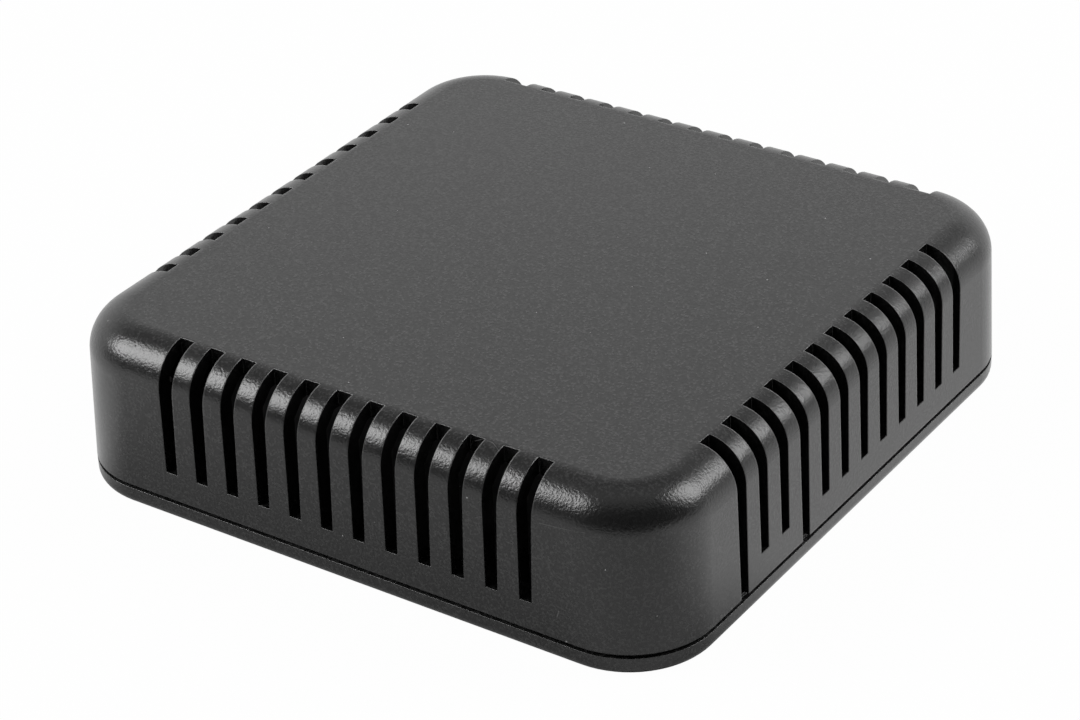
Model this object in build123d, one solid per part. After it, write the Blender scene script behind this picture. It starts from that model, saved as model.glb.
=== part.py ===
from build123d import *
import math
import os

# Vented snap-together enclosure: a square cover with a rolled top edge, closed underneath by a base.
# Millimetres. The origin is the middle of the underside, +Z is up, and -Y is the front.

# ---- whole enclosure ----
length_x = 80.0            # outside, at the parting line
width_y = 80.0
height = 20.8
corner_radius = 10.0       # in plan

# ---- cover ----
wall = 2.0
roof = 2.0
draft = 1.6                # degrees, the walls lean in towards the top
rolled_edge = 4.8          # radius where the walls turn into the top

# ---- parting line ----
edge_band = 2.25           # height of the base's edge that stays in sight
shadow_gap = 0.5           # height of the dark line between base and cover
gap_depth = 0.6            # how far that line runs in under the cover's wall

# ---- base ----
floor_thickness = 2.0
bottom_edge = 1.2          # radius round the underside
rim_height = 2.9           # upstand inside the cover's wall, above the seat
rim_thickness = 1.2
rim_clearance = 0.2        # between the upstand and the cover's wall
rim_lead_in = 0.4          # chamfer that guides the cover on

# ---- vents ----
vent_pitch = 4.27
vent_width = 1.55          # at the foot of a vent
vent_taper = 0.75          # degrees on each side, wider towards the top
vent_foot = 6.1            # above the underside
vent_reach = 4.85          # how far a vent runs in over the top, from the side
vent_margin = 15.0         # least distance from a side's end to its first vent
end_vent_width = 3.0       # the two wider vents that end the back row
end_vent_step = 4.7        # from the last ordinary vent to the wide one

# ---- snaps ----
tongue_first = 0           # a tongue lies between these two vents, counted from the front
tongue_last = 3
nib_length = 6.0
hook_length = 3.4
nib_height = 1.2
nib_depth = 0.7            # how far a nib stands in from the wall
nib_rise = 0.5             # foot of a nib above the seat
nib_face = 0.3             # upright part of a nib's nose
catch_clearance = 0.1      # above a seated nib
window_clearance = 0.3     # beside and below a nib

# ---- posts for a circuit board ----
post_inset = 12.0          # from the enclosure's sides to a post's middle
post_radius = 2.75
post_height = 3.5          # above the floor
pilot_radius = 1.1
pilot_depth = 4.3
gusset_length = 3.0        # beyond the post
gusset_thickness = 1.0

# ---- screw holes in the floor ----
screw_inset = 15.0         # from the left and right sides
screw_radius = 1.9
screw_head_radius = 3.3

seat = edge_band + shadow_gap
slope = math.tan(math.radians(draft))
beyond = 1.0               # how far a cutter runs past what it cuts


def inset_block(inset, low, high, lean=0.0):
    """The enclosure's outline moved in by inset all round, as a block that leans in towards the top."""
    outline = Rectangle(length_x - 2 * inset, width_y - 2 * inset)
    shape = Pos(0, 0, low) * extrude(outline, high - low, taper=lean)
    upright = shape.edges().filter_by(lambda edge: edge.bounding_box().size.Z > (high - low) / 2)
    return fillet(upright, corner_radius - inset)


def top_edges(shape):
    return shape.faces().sort_by(Axis.Z)[-1].edges()


def vent_centres(side):
    """Where the ordinary vents of a side lie along it, about its middle."""
    count = int((side - 2 * vent_margin) / vent_pitch) + 1
    return [(i - (count - 1) / 2) * vent_pitch for i in range(count)]


def on_side(shape, turn):
    """Turn a shape made for the front (-Y) side to another side: 0, 90, 180 or 270 degrees."""
    return Rot(0, 0, turn) * shape


def vent_cutter(place, face, width=vent_width, foot=vent_foot):
    """A tapered slot through the front side: place along it, face is the side's distance out."""
    spread = math.tan(math.radians(vent_taper))
    top = height + beyond
    half_low = width / 2 + (foot - vent_foot) * spread
    half_high = width / 2 + (top - vent_foot) * spread
    corners = [
        (place - half_low, foot),
        (place + half_low, foot),
        (place + half_high, top),
        (place - half_high, top),
    ]
    profile = Plane.XZ.offset(face - vent_reach) * make_face(Polyline(*corners, close=True))
    return extrude(profile, vent_reach + beyond)


def nib(place, face, length):
    """A wedge on the inside of the front wall: it slopes to ride over the rim, and is flat on top."""
    foot = seat + nib_rise
    tip = face - wall - nib_depth
    root = face - wall / 2
    profile = [
        (-root, foot),
        (-(face - wall), foot),
        (-tip, foot + nib_height - nib_face),
        (-tip, foot + nib_height),
        (-root, foot + nib_height),
    ]
    outline = Plane.YZ.offset(place - length / 2) * make_face(Polyline(*profile, close=True))
    return extrude(outline, length)


def window(place, face, length):
    """The opening in the front rim that a nib springs into."""
    low = seat + nib_rise - window_clearance
    high = seat + nib_rise + nib_height + catch_clearance
    outer = face - wall - rim_clearance + beyond
    inner = face - wall - rim_clearance - rim_thickness - beyond / 2
    box = Box(length + 2 * window_clearance, outer - inner, high - low)
    return Pos(place, -(outer + inner) / 2, (low + high) / 2) * box


x_face = length_x / 2
y_face = width_y / 2
x_vents = vent_centres(length_x)
y_vents = vent_centres(width_y)
end_vent = x_vents[-1] + end_vent_step
tongue = (y_vents[tongue_first] + y_vents[tongue_last]) / 2


def snaps(make):
    """One piece for each snap: a tongue near the front of both sides, and two fixed hooks at the back."""
    return [
        on_side(make(tongue, x_face, nib_length), 90),
        on_side(make(-tongue, x_face, nib_length), 270),
        on_side(make(end_vent, y_face, hook_length), 180),
        on_side(make(-end_vent, y_face, hook_length), 180),
    ]


def vents():
    """Cutters for all four sides."""
    cutters = []
    for place in x_vents:
        cutters.append(on_side(vent_cutter(place, y_face), 0))
        cutters.append(on_side(vent_cutter(place, y_face), 180))
    for place in (-end_vent, end_vent):
        cutters.append(on_side(vent_cutter(place, y_face, end_vent_width), 180))
    for i, place in enumerate(y_vents):
        # the vents beside a tongue run down through the wall's lower edge, so that it can spring
        foot = seat - beyond if i in (tongue_first, tongue_last) else vent_foot
        cutters.append(on_side(vent_cutter(place, x_face, foot=foot), 90))
        cutters.append(on_side(vent_cutter(-place, x_face, foot=foot), 270))
    return cutters


def make_cover():
    outside = inset_block(0, seat, height, draft)
    outside = fillet(top_edges(outside), rolled_edge)
    inside = inset_block(wall, seat, height - roof, draft)
    # a flat all round the inside that touches the roll's own offset, so the wall stays even
    inside = chamfer(top_edges(inside), (rolled_edge - wall) * (2 - math.sqrt(2)))
    return outside - inside + snaps(nib) - vents()


def make_post():
    """A post with four gussets and a blind pilot hole."""
    low = floor_thickness - beyond / 2
    top = floor_thickness + post_height
    post = Pos(0, 0, low) * extrude(Circle(post_radius), top - low)
    reach = post_radius + gusset_length
    triangle = [(0, low), (reach, low), (reach, floor_thickness), (0, top - beyond)]
    gusset = extrude(Plane.XZ * make_face(Polyline(*triangle, close=True)), gusset_thickness / 2, both=True)
    for turn in (0, 90, 180, 270):
        post += Rot(0, 0, turn) * gusset
    return post


def make_base():
    rim_face = wall + rim_clearance
    body = inset_block(0, 0, edge_band)
    body = fillet(body.faces().sort_by(Axis.Z)[0].edges(), bottom_edge)
    body += inset_block(gap_depth, edge_band - beyond / 2, seat)
    rim = inset_block(rim_face, seat - beyond / 2, seat + rim_height)
    body += chamfer(top_edges(rim), rim_lead_in)
    body -= inset_block(rim_face + rim_thickness, floor_thickness, seat + rim_height + beyond)
    body -= snaps(window)
    posts = GridLocations(length_x - 2 * post_inset, width_y - 2 * post_inset, 2, 2)
    body += [place * make_post() for place in posts]
    pilot_top = floor_thickness + post_height
    pilot = extrude(Circle(pilot_radius), pilot_depth + beyond)
    body -= [place * Pos(0, 0, pilot_top - pilot_depth) * pilot for place in posts]
    head_depth = screw_head_radius - screw_radius
    screw = Pos(0, 0, -beyond) * extrude(Circle(screw_radius), floor_thickness + 2 * beyond)
    screw += Pos(0, 0, floor_thickness - head_depth / 2) * Cone(screw_radius, screw_head_radius, head_depth)
    screws = GridLocations(length_x - 2 * screw_inset, 0, 2, 1)
    return body - [place * screw for place in screws]


pieces = {"cover": make_cover(), "base": make_base()}

os.makedirs("parts", exist_ok=True)
for name, shape in pieces.items():
    export_step(shape, f"parts/{name}.step")
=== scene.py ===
"""Looks for a vented snap-together enclosure: black plastic, white paper, studio light and the camera."""

import math

import bpy
from mathutils import Matrix, Vector


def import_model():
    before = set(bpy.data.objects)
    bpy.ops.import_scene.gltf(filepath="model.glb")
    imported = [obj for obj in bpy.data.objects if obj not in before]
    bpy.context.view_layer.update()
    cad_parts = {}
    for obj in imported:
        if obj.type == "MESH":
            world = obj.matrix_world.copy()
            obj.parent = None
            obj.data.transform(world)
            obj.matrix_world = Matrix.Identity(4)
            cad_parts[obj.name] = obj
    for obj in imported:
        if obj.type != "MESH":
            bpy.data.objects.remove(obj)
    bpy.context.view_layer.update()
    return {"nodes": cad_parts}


MM = 0.001

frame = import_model()
scene = bpy.context.scene


# ---- node helpers ----

class Nodes:
    """Short calls for building one material's or the world's nodes."""

    def __init__(self, tree):
        self.tree = tree

    def add(self, kind, inputs=(), **settings):
        node = self.tree.nodes.new(kind)
        for name, value in settings.items():
            setattr(node, name, value)
        for name, value in dict(inputs).items():
            self.put(node.inputs[name], value)
        return node

    def put(self, socket, value):
        if isinstance(value, bpy.types.NodeSocket):
            self.tree.links.new(value, socket)
        else:
            socket.default_value = value

    def math(self, operation, a, b=0.0, clamp=False):
        node = self.add("ShaderNodeMath", {0: a, 1: b}, operation=operation, use_clamp=clamp)
        return node.outputs[0]

    def times(self, first, *others):
        """The values multiplied together."""
        product = first
        for value in others:
            product = self.math("MULTIPLY", product, value)
        return product

    def either(self, a, b):
        """The larger of two shares."""
        return self.math("MAXIMUM", a, b)

    def above(self, value, limit):
        return self.math("GREATER_THAN", value, limit)

    def below(self, value, limit):
        return self.math("LESS_THAN", value, limit)

    def size(self, value):
        return self.math("ABSOLUTE", value)

    def vector(self, operation, a, b=(0.0, 0.0, 0.0), out=0):
        return self.add("ShaderNodeVectorMath", {0: a, 1: b}, operation=operation).outputs[out]

    def parts(self, vector):
        """A vector's X, Y and Z."""
        return self.add("ShaderNodeSeparateXYZ", {0: vector}).outputs

    def ramp(self, value, low, high, start=0.0, end=1.0):
        """Value from low..high to start..end, eased and clamped."""
        inputs = {"Value": value, "From Min": low, "From Max": high, "To Min": start, "To Max": end}
        return self.add("ShaderNodeMapRange", inputs, interpolation_type="SMOOTHSTEP").outputs["Result"]

    def noise(self, place, scale, detail, roughness=0.5):
        inputs = {"Vector": place, "Scale": scale, "Detail": detail, "Roughness": roughness}
        return self.add("ShaderNodeTexNoise", inputs).outputs["Fac"]

    def mix(self, share, a, b):
        inputs = {"Factor": share, "A": a, "B": b}
        return self.add("ShaderNodeMix", inputs, data_type="FLOAT").outputs["Result"]

    def rays(self):
        """1 for a ray that the camera sends, and 1 for one that was mirrored or passed through glass."""
        path = self.add("ShaderNodeLightPath").outputs
        mirrored = self.math("ADD", path["Is Glossy Ray"], path["Is Transmission Ray"], clamp=True)
        return path["Is Camera Ray"], mirrored


# ---- plastic ----
# A pair is the two values between which something comes in or goes out.
# A shade is how much light a point sends back, and a share is from 0 to 1.

BLACK = 0.007                 # the cover's own shade
BASE_TONE = 0.94              # the base's, as a share of the cover's
IOR = 1.585                   # refractive index
CLOUD_SIZE = 9.0 * MM         # slow changes of shade and gloss
CLOUD_RANGE = (0.30, 0.70)
CLOUD_SHADE = 0.08            # how far the shade strays, as a share of it

# how far a face looks up: 0 on a wall, 1 on the top
ROLL_BEGINS = (0.08, 0.30)
ROLL_ENDS = (0.80, 0.98)
TOP_BEGINS = (0.97, 0.995)
SQUARE = 0.9                  # a face looks along an axis where its normal has more than this of it

# the mould's spark-eroded texture, with pale speckle in it that is a painted sparkle
GRAIN_SIZE = 0.30 * MM
GRAIN_HEIGHT = 0.037 * MM     # on the roll
PLAIN_GRAIN = 0.45            # share of that height elsewhere
SPECKLE_SIZE = 0.30 * MM      # pale points in it, the grain painted as sparkle
SPECKLE_RANGE = (0.40, 0.75)
SPECKLE = 0.040               # their shade, in full on the top; a painted sparkle
WALL_SPECKLE = 0.80           # share of it on the walls
ROLL_SPECKLE = 0.15           # and on the roll

# polishing lines across the roll
DRAW_SIZE = 0.25 * MM
DRAW_LENGTH = 2.2 * MM
DRAW_HEIGHT = 0.008 * MM
SIDEWAYS = (0.3, 0.6)         # how far a face looks to the side where the lines turn

# edges
EDGE_RADIUS = 0.25 * MM       # moulded edges are never quite sharp
FINE_RADIUS = 0.08 * MM       # along the parting line and in the vents
EDGE_SAMPLES = 6
EDGE_TURN = (0.98, 0.85)      # cosine between the softened surface and its face
EDGE_HIGHLIGHT_LIFT = (0.3, 0.6)        # how far an edge looks up; the upward ones get a painted highlight
EDGE_WEAR = (0.2, 0.8, 0.4, 1.0)   # wear from the first two values gives a share from the last two
EDGE_WEAR_AND_HIGHLIGHT_SHARE = 0.85             # how much of a pale edge is painted: partly wear, partly painted highlight
# the pale edges' shade: worn edges, and a painted highlight on edges that look up
EDGE_WEAR_AND_HIGHLIGHT_SHADE = 0.35
WORN_SIZE = 0.5 * MM          # patches of wear

# heights and distances that tell the parts of the moulding from one another
UNDERSIDE = 0.6 * MM
PARTING = 2.6 * MM            # the base's edge lies below this, and the cover's above it
SILLS_LOW = 2.9 * MM          # the vents' sills lie above this, and the inside floor below it
EDGES_LOW = 8.0 * MM          # pale edges, worn and with painted highlight, lie above this, or along the parting line
ROLL_FOOT = 15.0 * MM
ROLL_LEAN = 0.35              # how fast the inside closes in above the roll's foot
ROOF = 18.9 * MM
SKIN = 37.0 * MM              # upright faces nearer the middle than this are inside or in a vent
STRAIGHT = 30.0 * MM          # a side's outline is straight up to here, and round beyond
WITHIN = 8.7 * MM             # nearer than this to the start of the rounding is inside
FAR = 1.0                     # further than any point, so that its height doesn't count

INNER_PAINTED_SHADE = 0.3             # painted shade inside and in the vents: the shade there, as a share of the shade outside
INNER_ROUGHNESS = 0.2
GROUND_ROUGHNESS = 0.6        # of the base's inside floor, which shows through the vents
FINISH_RANGE = (0.25, 0.75)
ROUGHNESS = (0.255, 0.275)
ROLL_ROUGHNESS = 0.01         # added on the roll

# dust, as a speck in some of the cells
DUST_CELL = 1.5 * MM
DUST_CHANCE = 0.80            # cells up to this share stay clean
DUST_SIZE = 0.065             # the largest speck, as a share of a cell
DUST_SHARE = 0.8
DUST_SHADE = 0.42

# thin marks left by handling, as millimetre points along each, a radius and a shade
MARKS = [
    ([(25.38, -39.62, 16.21), (28.29, -39.59, 16.47), (30.88, -39.48, 16.81)], 0.06, 0.06),
    (
        [(14.58, -35.15, 20.11), (15.61, -35.15, 20.69), (17.01, -35.35, 20.76), (18.25, -36.08, 20.6)],
        0.06,
        0.10,
    ),
    ([(27.38, -39.92, 5.5), (27.64, -39.9, 6.34)], 0.06, 0.12),
]
MARK_CORE = 0.3               # share of a mark's radius that is marked in full
MARK_SHARE = 0.9

# a chafed stretch of the parting line
SCUFF = [(40.0, -31.0, 2.9), (40.0, -26.0, 2.9)]
SCUFF_RADIUS = 0.6
SCUFF_WEAR = (0.52, 0.68)
SCUFF_SHADE = 0.12


class PlasticNodes(Nodes):
    """The plastic's nodes. They share a point's place, its face's normal, and its part of the moulding."""

    def __init__(self, tree):
        super().__init__(tree)
        self.place = self.add("ShaderNodeTexCoord").outputs["Object"]
        self.normal = self.add("ShaderNodeNewGeometry").outputs["Normal"]
        self.at = self.parts(self.place)
        self.facing = self.parts(self.normal)
        self.worn = self.noise(self.place, 1 / WORN_SIZE, detail=3.0, roughness=0.7)
        self.cloud = self.noise(self.place, 1 / CLOUD_SIZE, detail=3.0, roughness=0.55)
        self.roll = self.on_roll()
        self.deep = self.well_inside()
        self.inner = self.either(self.in_vent(), self.deep)
        self.soft = self.softened()

    def on_roll(self):
        """The roll between wall and top, where the mould was polished by hand."""
        begun = self.ramp(self.facing["Z"], *ROLL_BEGINS)
        lasting = self.ramp(self.facing["Z"], *ROLL_ENDS, 1.0, 0.0)
        return self.times(begun, lasting)

    def in_vent(self):
        """Upright faces nearer the middle than the skin: inside, and down in the vents."""
        found = []
        for axis in "XY":
            upright = self.above(self.size(self.facing[axis]), SQUARE)
            behind = self.below(self.size(self.at[axis]), SKIN)
            found.append(self.times(upright, behind))
        return self.either(*found)

    def well_inside(self):
        """The rest of the inside: points well within the outline, below the roof, and the vents' sills."""
        past = self.vector("SUBTRACT", self.vector("ABSOLUTE", self.place), (STRAIGHT, STRAIGHT, FAR))
        reach = self.vector("LENGTH", self.vector("MAXIMUM", past), out="Value")
        risen = self.math("MAXIMUM", self.math("SUBTRACT", self.at["Z"], ROLL_FOOT), 0.0)
        within = self.below(self.math("ADD", reach, self.times(risen, ROLL_LEAN)), WITHIN)
        sill = self.times(self.above(self.facing["Z"], SQUARE), self.above(self.at["Z"], SILLS_LOW))
        low = self.above(self.at["Z"], UNDERSIDE)
        high = self.below(self.at["Z"], ROOF)
        return self.times(self.either(within, sill), low, high)

    def height(self):
        """The eroded grain, and the lines that polishing left on the roll."""
        grain = self.noise(self.place, 1 / GRAIN_SIZE, detail=1.0, roughness=0.7)
        grain = self.times(grain, self.mix(self.roll, PLAIN_GRAIN * GRAIN_HEIGHT, GRAIN_HEIGHT))
        across, along = 1 / DRAW_SIZE, 1 / DRAW_LENGTH
        front = self.noise(self.vector("MULTIPLY", self.place, (across, along, along)), 1.0, detail=1.0)
        side = self.noise(self.vector("MULTIPLY", self.place, (along, across, along)), 1.0, detail=1.0)
        sideways = self.ramp(self.size(self.facing["X"]), *SIDEWAYS)
        lines = self.times(self.mix(sideways, front, side), self.roll, DRAW_HEIGHT)
        return self.math("ADD", grain, lines)

    def softened(self):
        """The surface's normal, with its edges rounded off."""
        fine = self.either(self.inner, self.below(self.at["Z"], PARTING))
        radius = self.mix(fine, EDGE_RADIUS, FINE_RADIUS)
        return self.add("ShaderNodeBevel", {"Radius": radius}, samples=EDGE_SAMPLES).outputs["Normal"]

    def edge_wear_and_highlight(self):
        """Edges painted pale, where the softened surface turns from its face and looks up: partly wear,
        partly a painted highlight.
        """
        turned = self.vector("DOT_PRODUCT", self.soft, self.normal, out="Value")
        lifted = self.parts(self.soft)["Z"]
        edge = self.times(self.ramp(turned, *EDGE_TURN), self.ramp(self.worn, *EDGE_WEAR))
        edge = self.times(edge, self.ramp(lifted, *EDGE_HIGHLIGHT_LIFT))
        exposed = self.either(self.above(self.at["Z"], EDGES_LOW), self.below(self.at["Z"], PARTING))
        return self.times(edge, exposed)

    def dust(self):
        inputs = {"Vector": self.place, "Scale": 1 / DUST_CELL}
        cell = self.add("ShaderNodeTexVoronoi", inputs, feature="F1").outputs
        chance = self.parts(cell["Color"])["X"]
        radius = self.times(self.ramp(chance, DUST_CHANCE, 1.0), DUST_SIZE)
        return self.below(cell["Distance"], radius)

    def near(self, points, radius):
        """1 along a line through the points, falling to 0 at the radius. Millimetres."""
        nearest = None
        for start, end in zip(points, points[1:]):
            start, end = Vector(start) * MM, Vector(end) * MM
            run = end - start
            offset = self.vector("SUBTRACT", self.place, start)
            along = self.vector("DOT_PRODUCT", offset, run / run.length_squared, out="Value")
            along = self.math("MULTIPLY", along, 1.0, clamp=True)
            inputs = {0: tuple(run), "Scale": along}
            foot = self.add("ShaderNodeVectorMath", inputs, operation="SCALE").outputs[0]
            distance = self.vector("DISTANCE", offset, foot, out="Value")
            nearest = distance if nearest is None else self.math("MINIMUM", nearest, distance)
        return self.ramp(nearest, MARK_CORE * radius * MM, radius * MM, 1.0, 0.0)

    def shade(self, tone):
        """The plain black, then what lies over it, one after another: painted sparkle, painted shade inside,
        pale edges partly painted highlight, dust and marks.
        """
        darkest = (1 - CLOUD_SHADE) * BLACK * tone
        palest = (1 + CLOUD_SHADE) * BLACK * tone
        shade = self.ramp(self.cloud, *CLOUD_RANGE, darkest, palest)

        # painted sparkle: the grain's pale speckle, fullest on the top and faint on the roll
        share = self.ramp(self.facing["Z"], *TOP_BEGINS, self.mix(self.roll, WALL_SPECKLE, ROLL_SPECKLE), 1.0)
        speckle = self.ramp(self.noise(self.place, 1 / SPECKLE_SIZE, detail=1.0), *SPECKLE_RANGE)
        shade = self.mix(self.times(speckle, share), shade, SPECKLE)

        # painted shade: darkens the inside and the vents, where shade falls
        shade = self.mix(self.inner, shade, self.times(shade, INNER_PAINTED_SHADE))
        # pale edges: patchy wear, and a painted highlight on edges that look up
        shade = self.mix(self.times(self.edge_wear_and_highlight(), EDGE_WEAR_AND_HIGHLIGHT_SHARE), shade, EDGE_WEAR_AND_HIGHLIGHT_SHADE)
        shade = self.mix(self.times(self.dust(), DUST_SHARE), shade, DUST_SHADE)
        for points, radius, light in MARKS:
            shade = self.mix(self.times(self.near(points, radius), MARK_SHARE), shade, light)
        chafed = self.times(self.near(SCUFF, SCUFF_RADIUS), self.ramp(self.worn, *SCUFF_WEAR))
        return self.mix(chafed, shade, SCUFF_SHADE)

    def finish(self):
        """Roughness: even outside, glossier inside, and dull on the inside floor."""
        finish = self.ramp(self.cloud, *FINISH_RANGE, *ROUGHNESS)
        finish = self.mix(self.roll, finish, self.math("ADD", finish, ROLL_ROUGHNESS))
        finish = self.mix(self.inner, finish, INNER_ROUGHNESS)
        level = self.above(self.facing["Z"], SQUARE)
        ground = self.times(self.deep, level, self.below(self.at["Z"], SILLS_LOW))
        return self.mix(ground, finish, GROUND_ROUGHNESS)


def plastic(name, tone=1.0):
    """Black moulded plastic with a fine eroded texture, soft edges and dust, with painted sparkle, painted
    shade inside and painted highlights on its edges.
    """
    material = bpy.data.materials.new(name)
    material.use_nodes = True
    n = PlasticNodes(material.node_tree)
    shader = n.tree.nodes["Principled BSDF"]
    shade = n.shade(tone)
    colour = n.add("ShaderNodeCombineColor", {0: shade, 1: shade, 2: shade}).outputs[0]
    n.put(shader.inputs["Base Color"], colour)
    n.put(shader.inputs["Roughness"], n.finish())
    bump = n.add("ShaderNodeBump", {"Strength": 1.0, "Distance": 1.0, "Height": n.height(), "Normal": n.soft})
    n.put(shader.inputs["Normal"], bump.outputs["Normal"])
    shader.inputs["IOR"].default_value = IOR
    return material


finishes = {
    "cover": plastic("cover_plastic"),
    "base": plastic("base_plastic", tone=BASE_TONE),
}
for node, finish in finishes.items():
    for slot in frame["nodes"][node].material_slots:
        slot.material = finish


# ---- floor ----

FLOOR_SIZE = 4.0
FLOOR_DROP = 0.02 * MM        # keeps the floor out of the underside's own plane
PAPER = 0.68                  # its shade, where it isn't seen as plain white
CAMERA_WHITE = 0.98           # share of plain white for the camera; the rest shows the shadow

# reflections see the floor white beyond a slanting line across the back, and to the left of another
BACK_SLANT = 0.6
BACK_BEGINS = (-6 * MM, 17 * MM)
LEFT_SLANT = -0.5
LEFT_ENDS = (-26 * MM, -12 * MM)


def floor():
    """White paper. The camera sees it nearly all white, and reflections do behind and beside the object."""
    bpy.ops.mesh.primitive_grid_add(x_subdivisions=4, y_subdivisions=4, size=FLOOR_SIZE)
    plane = bpy.context.object
    plane.name = "floor"
    plane.location.z = -FLOOR_DROP
    material = bpy.data.materials.new("floor_paper")
    material.use_nodes = True
    n = Nodes(material.node_tree)
    n.tree.nodes.remove(n.tree.nodes["Principled BSDF"])
    paper = n.add("ShaderNodeBsdfDiffuse", {"Color": (PAPER, PAPER, PAPER, 1)})
    white = n.add("ShaderNodeEmission", {"Color": (1, 1, 1, 1), "Strength": 1.0})
    at = n.parts(n.add("ShaderNodeTexCoord").outputs["Object"])
    back = n.ramp(n.math("ADD", at["Y"], n.times(at["X"], BACK_SLANT)), *BACK_BEGINS)
    left = n.ramp(n.math("ADD", at["X"], n.times(at["Y"], LEFT_SLANT)), *LEFT_ENDS, 1.0, 0.0)
    camera_ray, mirrored = n.rays()
    share = n.either(n.times(camera_ray, CAMERA_WHITE), n.times(mirrored, n.either(back, left)))
    both = n.add("ShaderNodeMixShader", {0: share, 1: paper.outputs[0], 2: white.outputs[0]})
    # seen through from below, so that it doesn't hide the underside
    clear = n.add("ShaderNodeBsdfTransparent")
    below = n.add("ShaderNodeNewGeometry").outputs["Backfacing"]
    sided = n.add("ShaderNodeMixShader", {0: below, 1: both.outputs[0], 2: clear.outputs[0]})
    n.put(n.tree.nodes["Material Output"].inputs["Surface"], sided.outputs[0])
    plane.data.materials.append(material)


floor()


# ---- light ----

LAMP_DISTANCE = 0.8


def softbox(name, azimuth, elevation, width, height, level):
    """A light facing the object; level 1 lights a white card that faces it to white."""
    light = bpy.data.lights.new(name, "AREA")
    light.shape = "RECTANGLE"
    light.size, light.size_y = width, height
    light.energy = level * math.pi ** 2 * LAMP_DISTANCE ** 2
    lamp = bpy.data.objects.new(name, light)
    scene.collection.objects.link(lamp)
    a, e = math.radians(azimuth), math.radians(elevation)
    towards = Vector((math.cos(a) * math.cos(e), math.sin(a) * math.cos(e), math.sin(e)))
    lamp.location = towards * LAMP_DISTANCE
    lamp.rotation_euler = (-towards).to_track_quat("-Z", "Y").to_euler()


softbox("right_softbox", azimuth=38, elevation=36, width=0.36, height=0.54, level=0.65)
softbox("left_softbox", azimuth=219, elevation=36, width=0.40, height=0.40, level=0.70)

BACK = Vector((-0.574, 0.819, 0.0))   # away from the camera, along the floor
BEHIND = (0.0, 0.7)           # how far a direction points to the back, where the wall comes in

# how far a direction points up, and the strengths that go with it
CEILING_RISE, CEILING = (0.75, 0.98), (0.05, 0.45)
WALL_RISE, WALL = (0.35, 0.85), (0.89, 0.27)
HORIZON_RISE, HORIZON = (0.0, 0.2), (0.6, 0.0)   # added to the wall
BACKDROP_RISE = (0.2, 0.6)    # where the white that reflections see behind the object ends


def world():
    """White for the camera. For the object, a white wall behind it, a pale ceiling and a dark front."""
    scene.world = bpy.data.worlds.new("studio")
    scene.world.use_nodes = True
    n = Nodes(scene.world.node_tree)
    background = n.tree.nodes["Background"]
    towards = n.add("ShaderNodeTexCoord").outputs["Generated"]
    up = n.parts(towards)["Z"]
    behind = n.ramp(n.vector("DOT_PRODUCT", towards, BACK, out="Value"), *BEHIND)
    ceiling = n.ramp(up, *CEILING_RISE, *CEILING)
    wall = n.math("ADD", n.ramp(up, *WALL_RISE, *WALL), n.ramp(up, *HORIZON_RISE, *HORIZON))
    room = n.either(ceiling, n.times(behind, wall))
    # reflections see the white backdrop too, where it stands: behind the object, up to a height
    camera_ray, mirrored = n.rays()
    backdrop = n.times(behind, n.ramp(up, *BACKDROP_RISE, 1.0, 0.0))
    white = n.either(camera_ray, n.times(mirrored, backdrop))
    n.put(background.inputs["Strength"], n.mix(white, room, 1.0))
    background.inputs["Color"].default_value = (1, 1, 1, 1)


world()


# ---- camera ----

# solved from where the vents' corners lie in the photo
CAMERA_PLACE = Vector((187.24, -269.41, 202.89)) * MM
CAMERA_TURN = (2.0457, 0.6017, -0.3868)   # world to camera, as an axis times an angle in radians
LENS = 110.94                 # focal length in millimetres
SENSOR = 36.0                 # width in millimetres
NEAREST = 0.01                # nothing nearer to the camera than this is drawn


def camera():
    data = bpy.data.cameras.new("camera")
    data.sensor_width = SENSOR
    data.lens = LENS
    data.clip_start = NEAREST
    holder = bpy.data.objects.new("camera", data)
    scene.collection.objects.link(holder)
    turn = Vector(CAMERA_TURN)
    to_camera = Matrix.Rotation(turn.length, 3, turn.normalized())
    right, down, forward = to_camera
    rotation = Matrix((right, -down, -forward)).transposed()
    holder.matrix_world = Matrix.Translation(CAMERA_PLACE) @ rotation.to_4x4()
    scene.camera = holder


camera()
scene.view_settings.view_transform = "Standard"
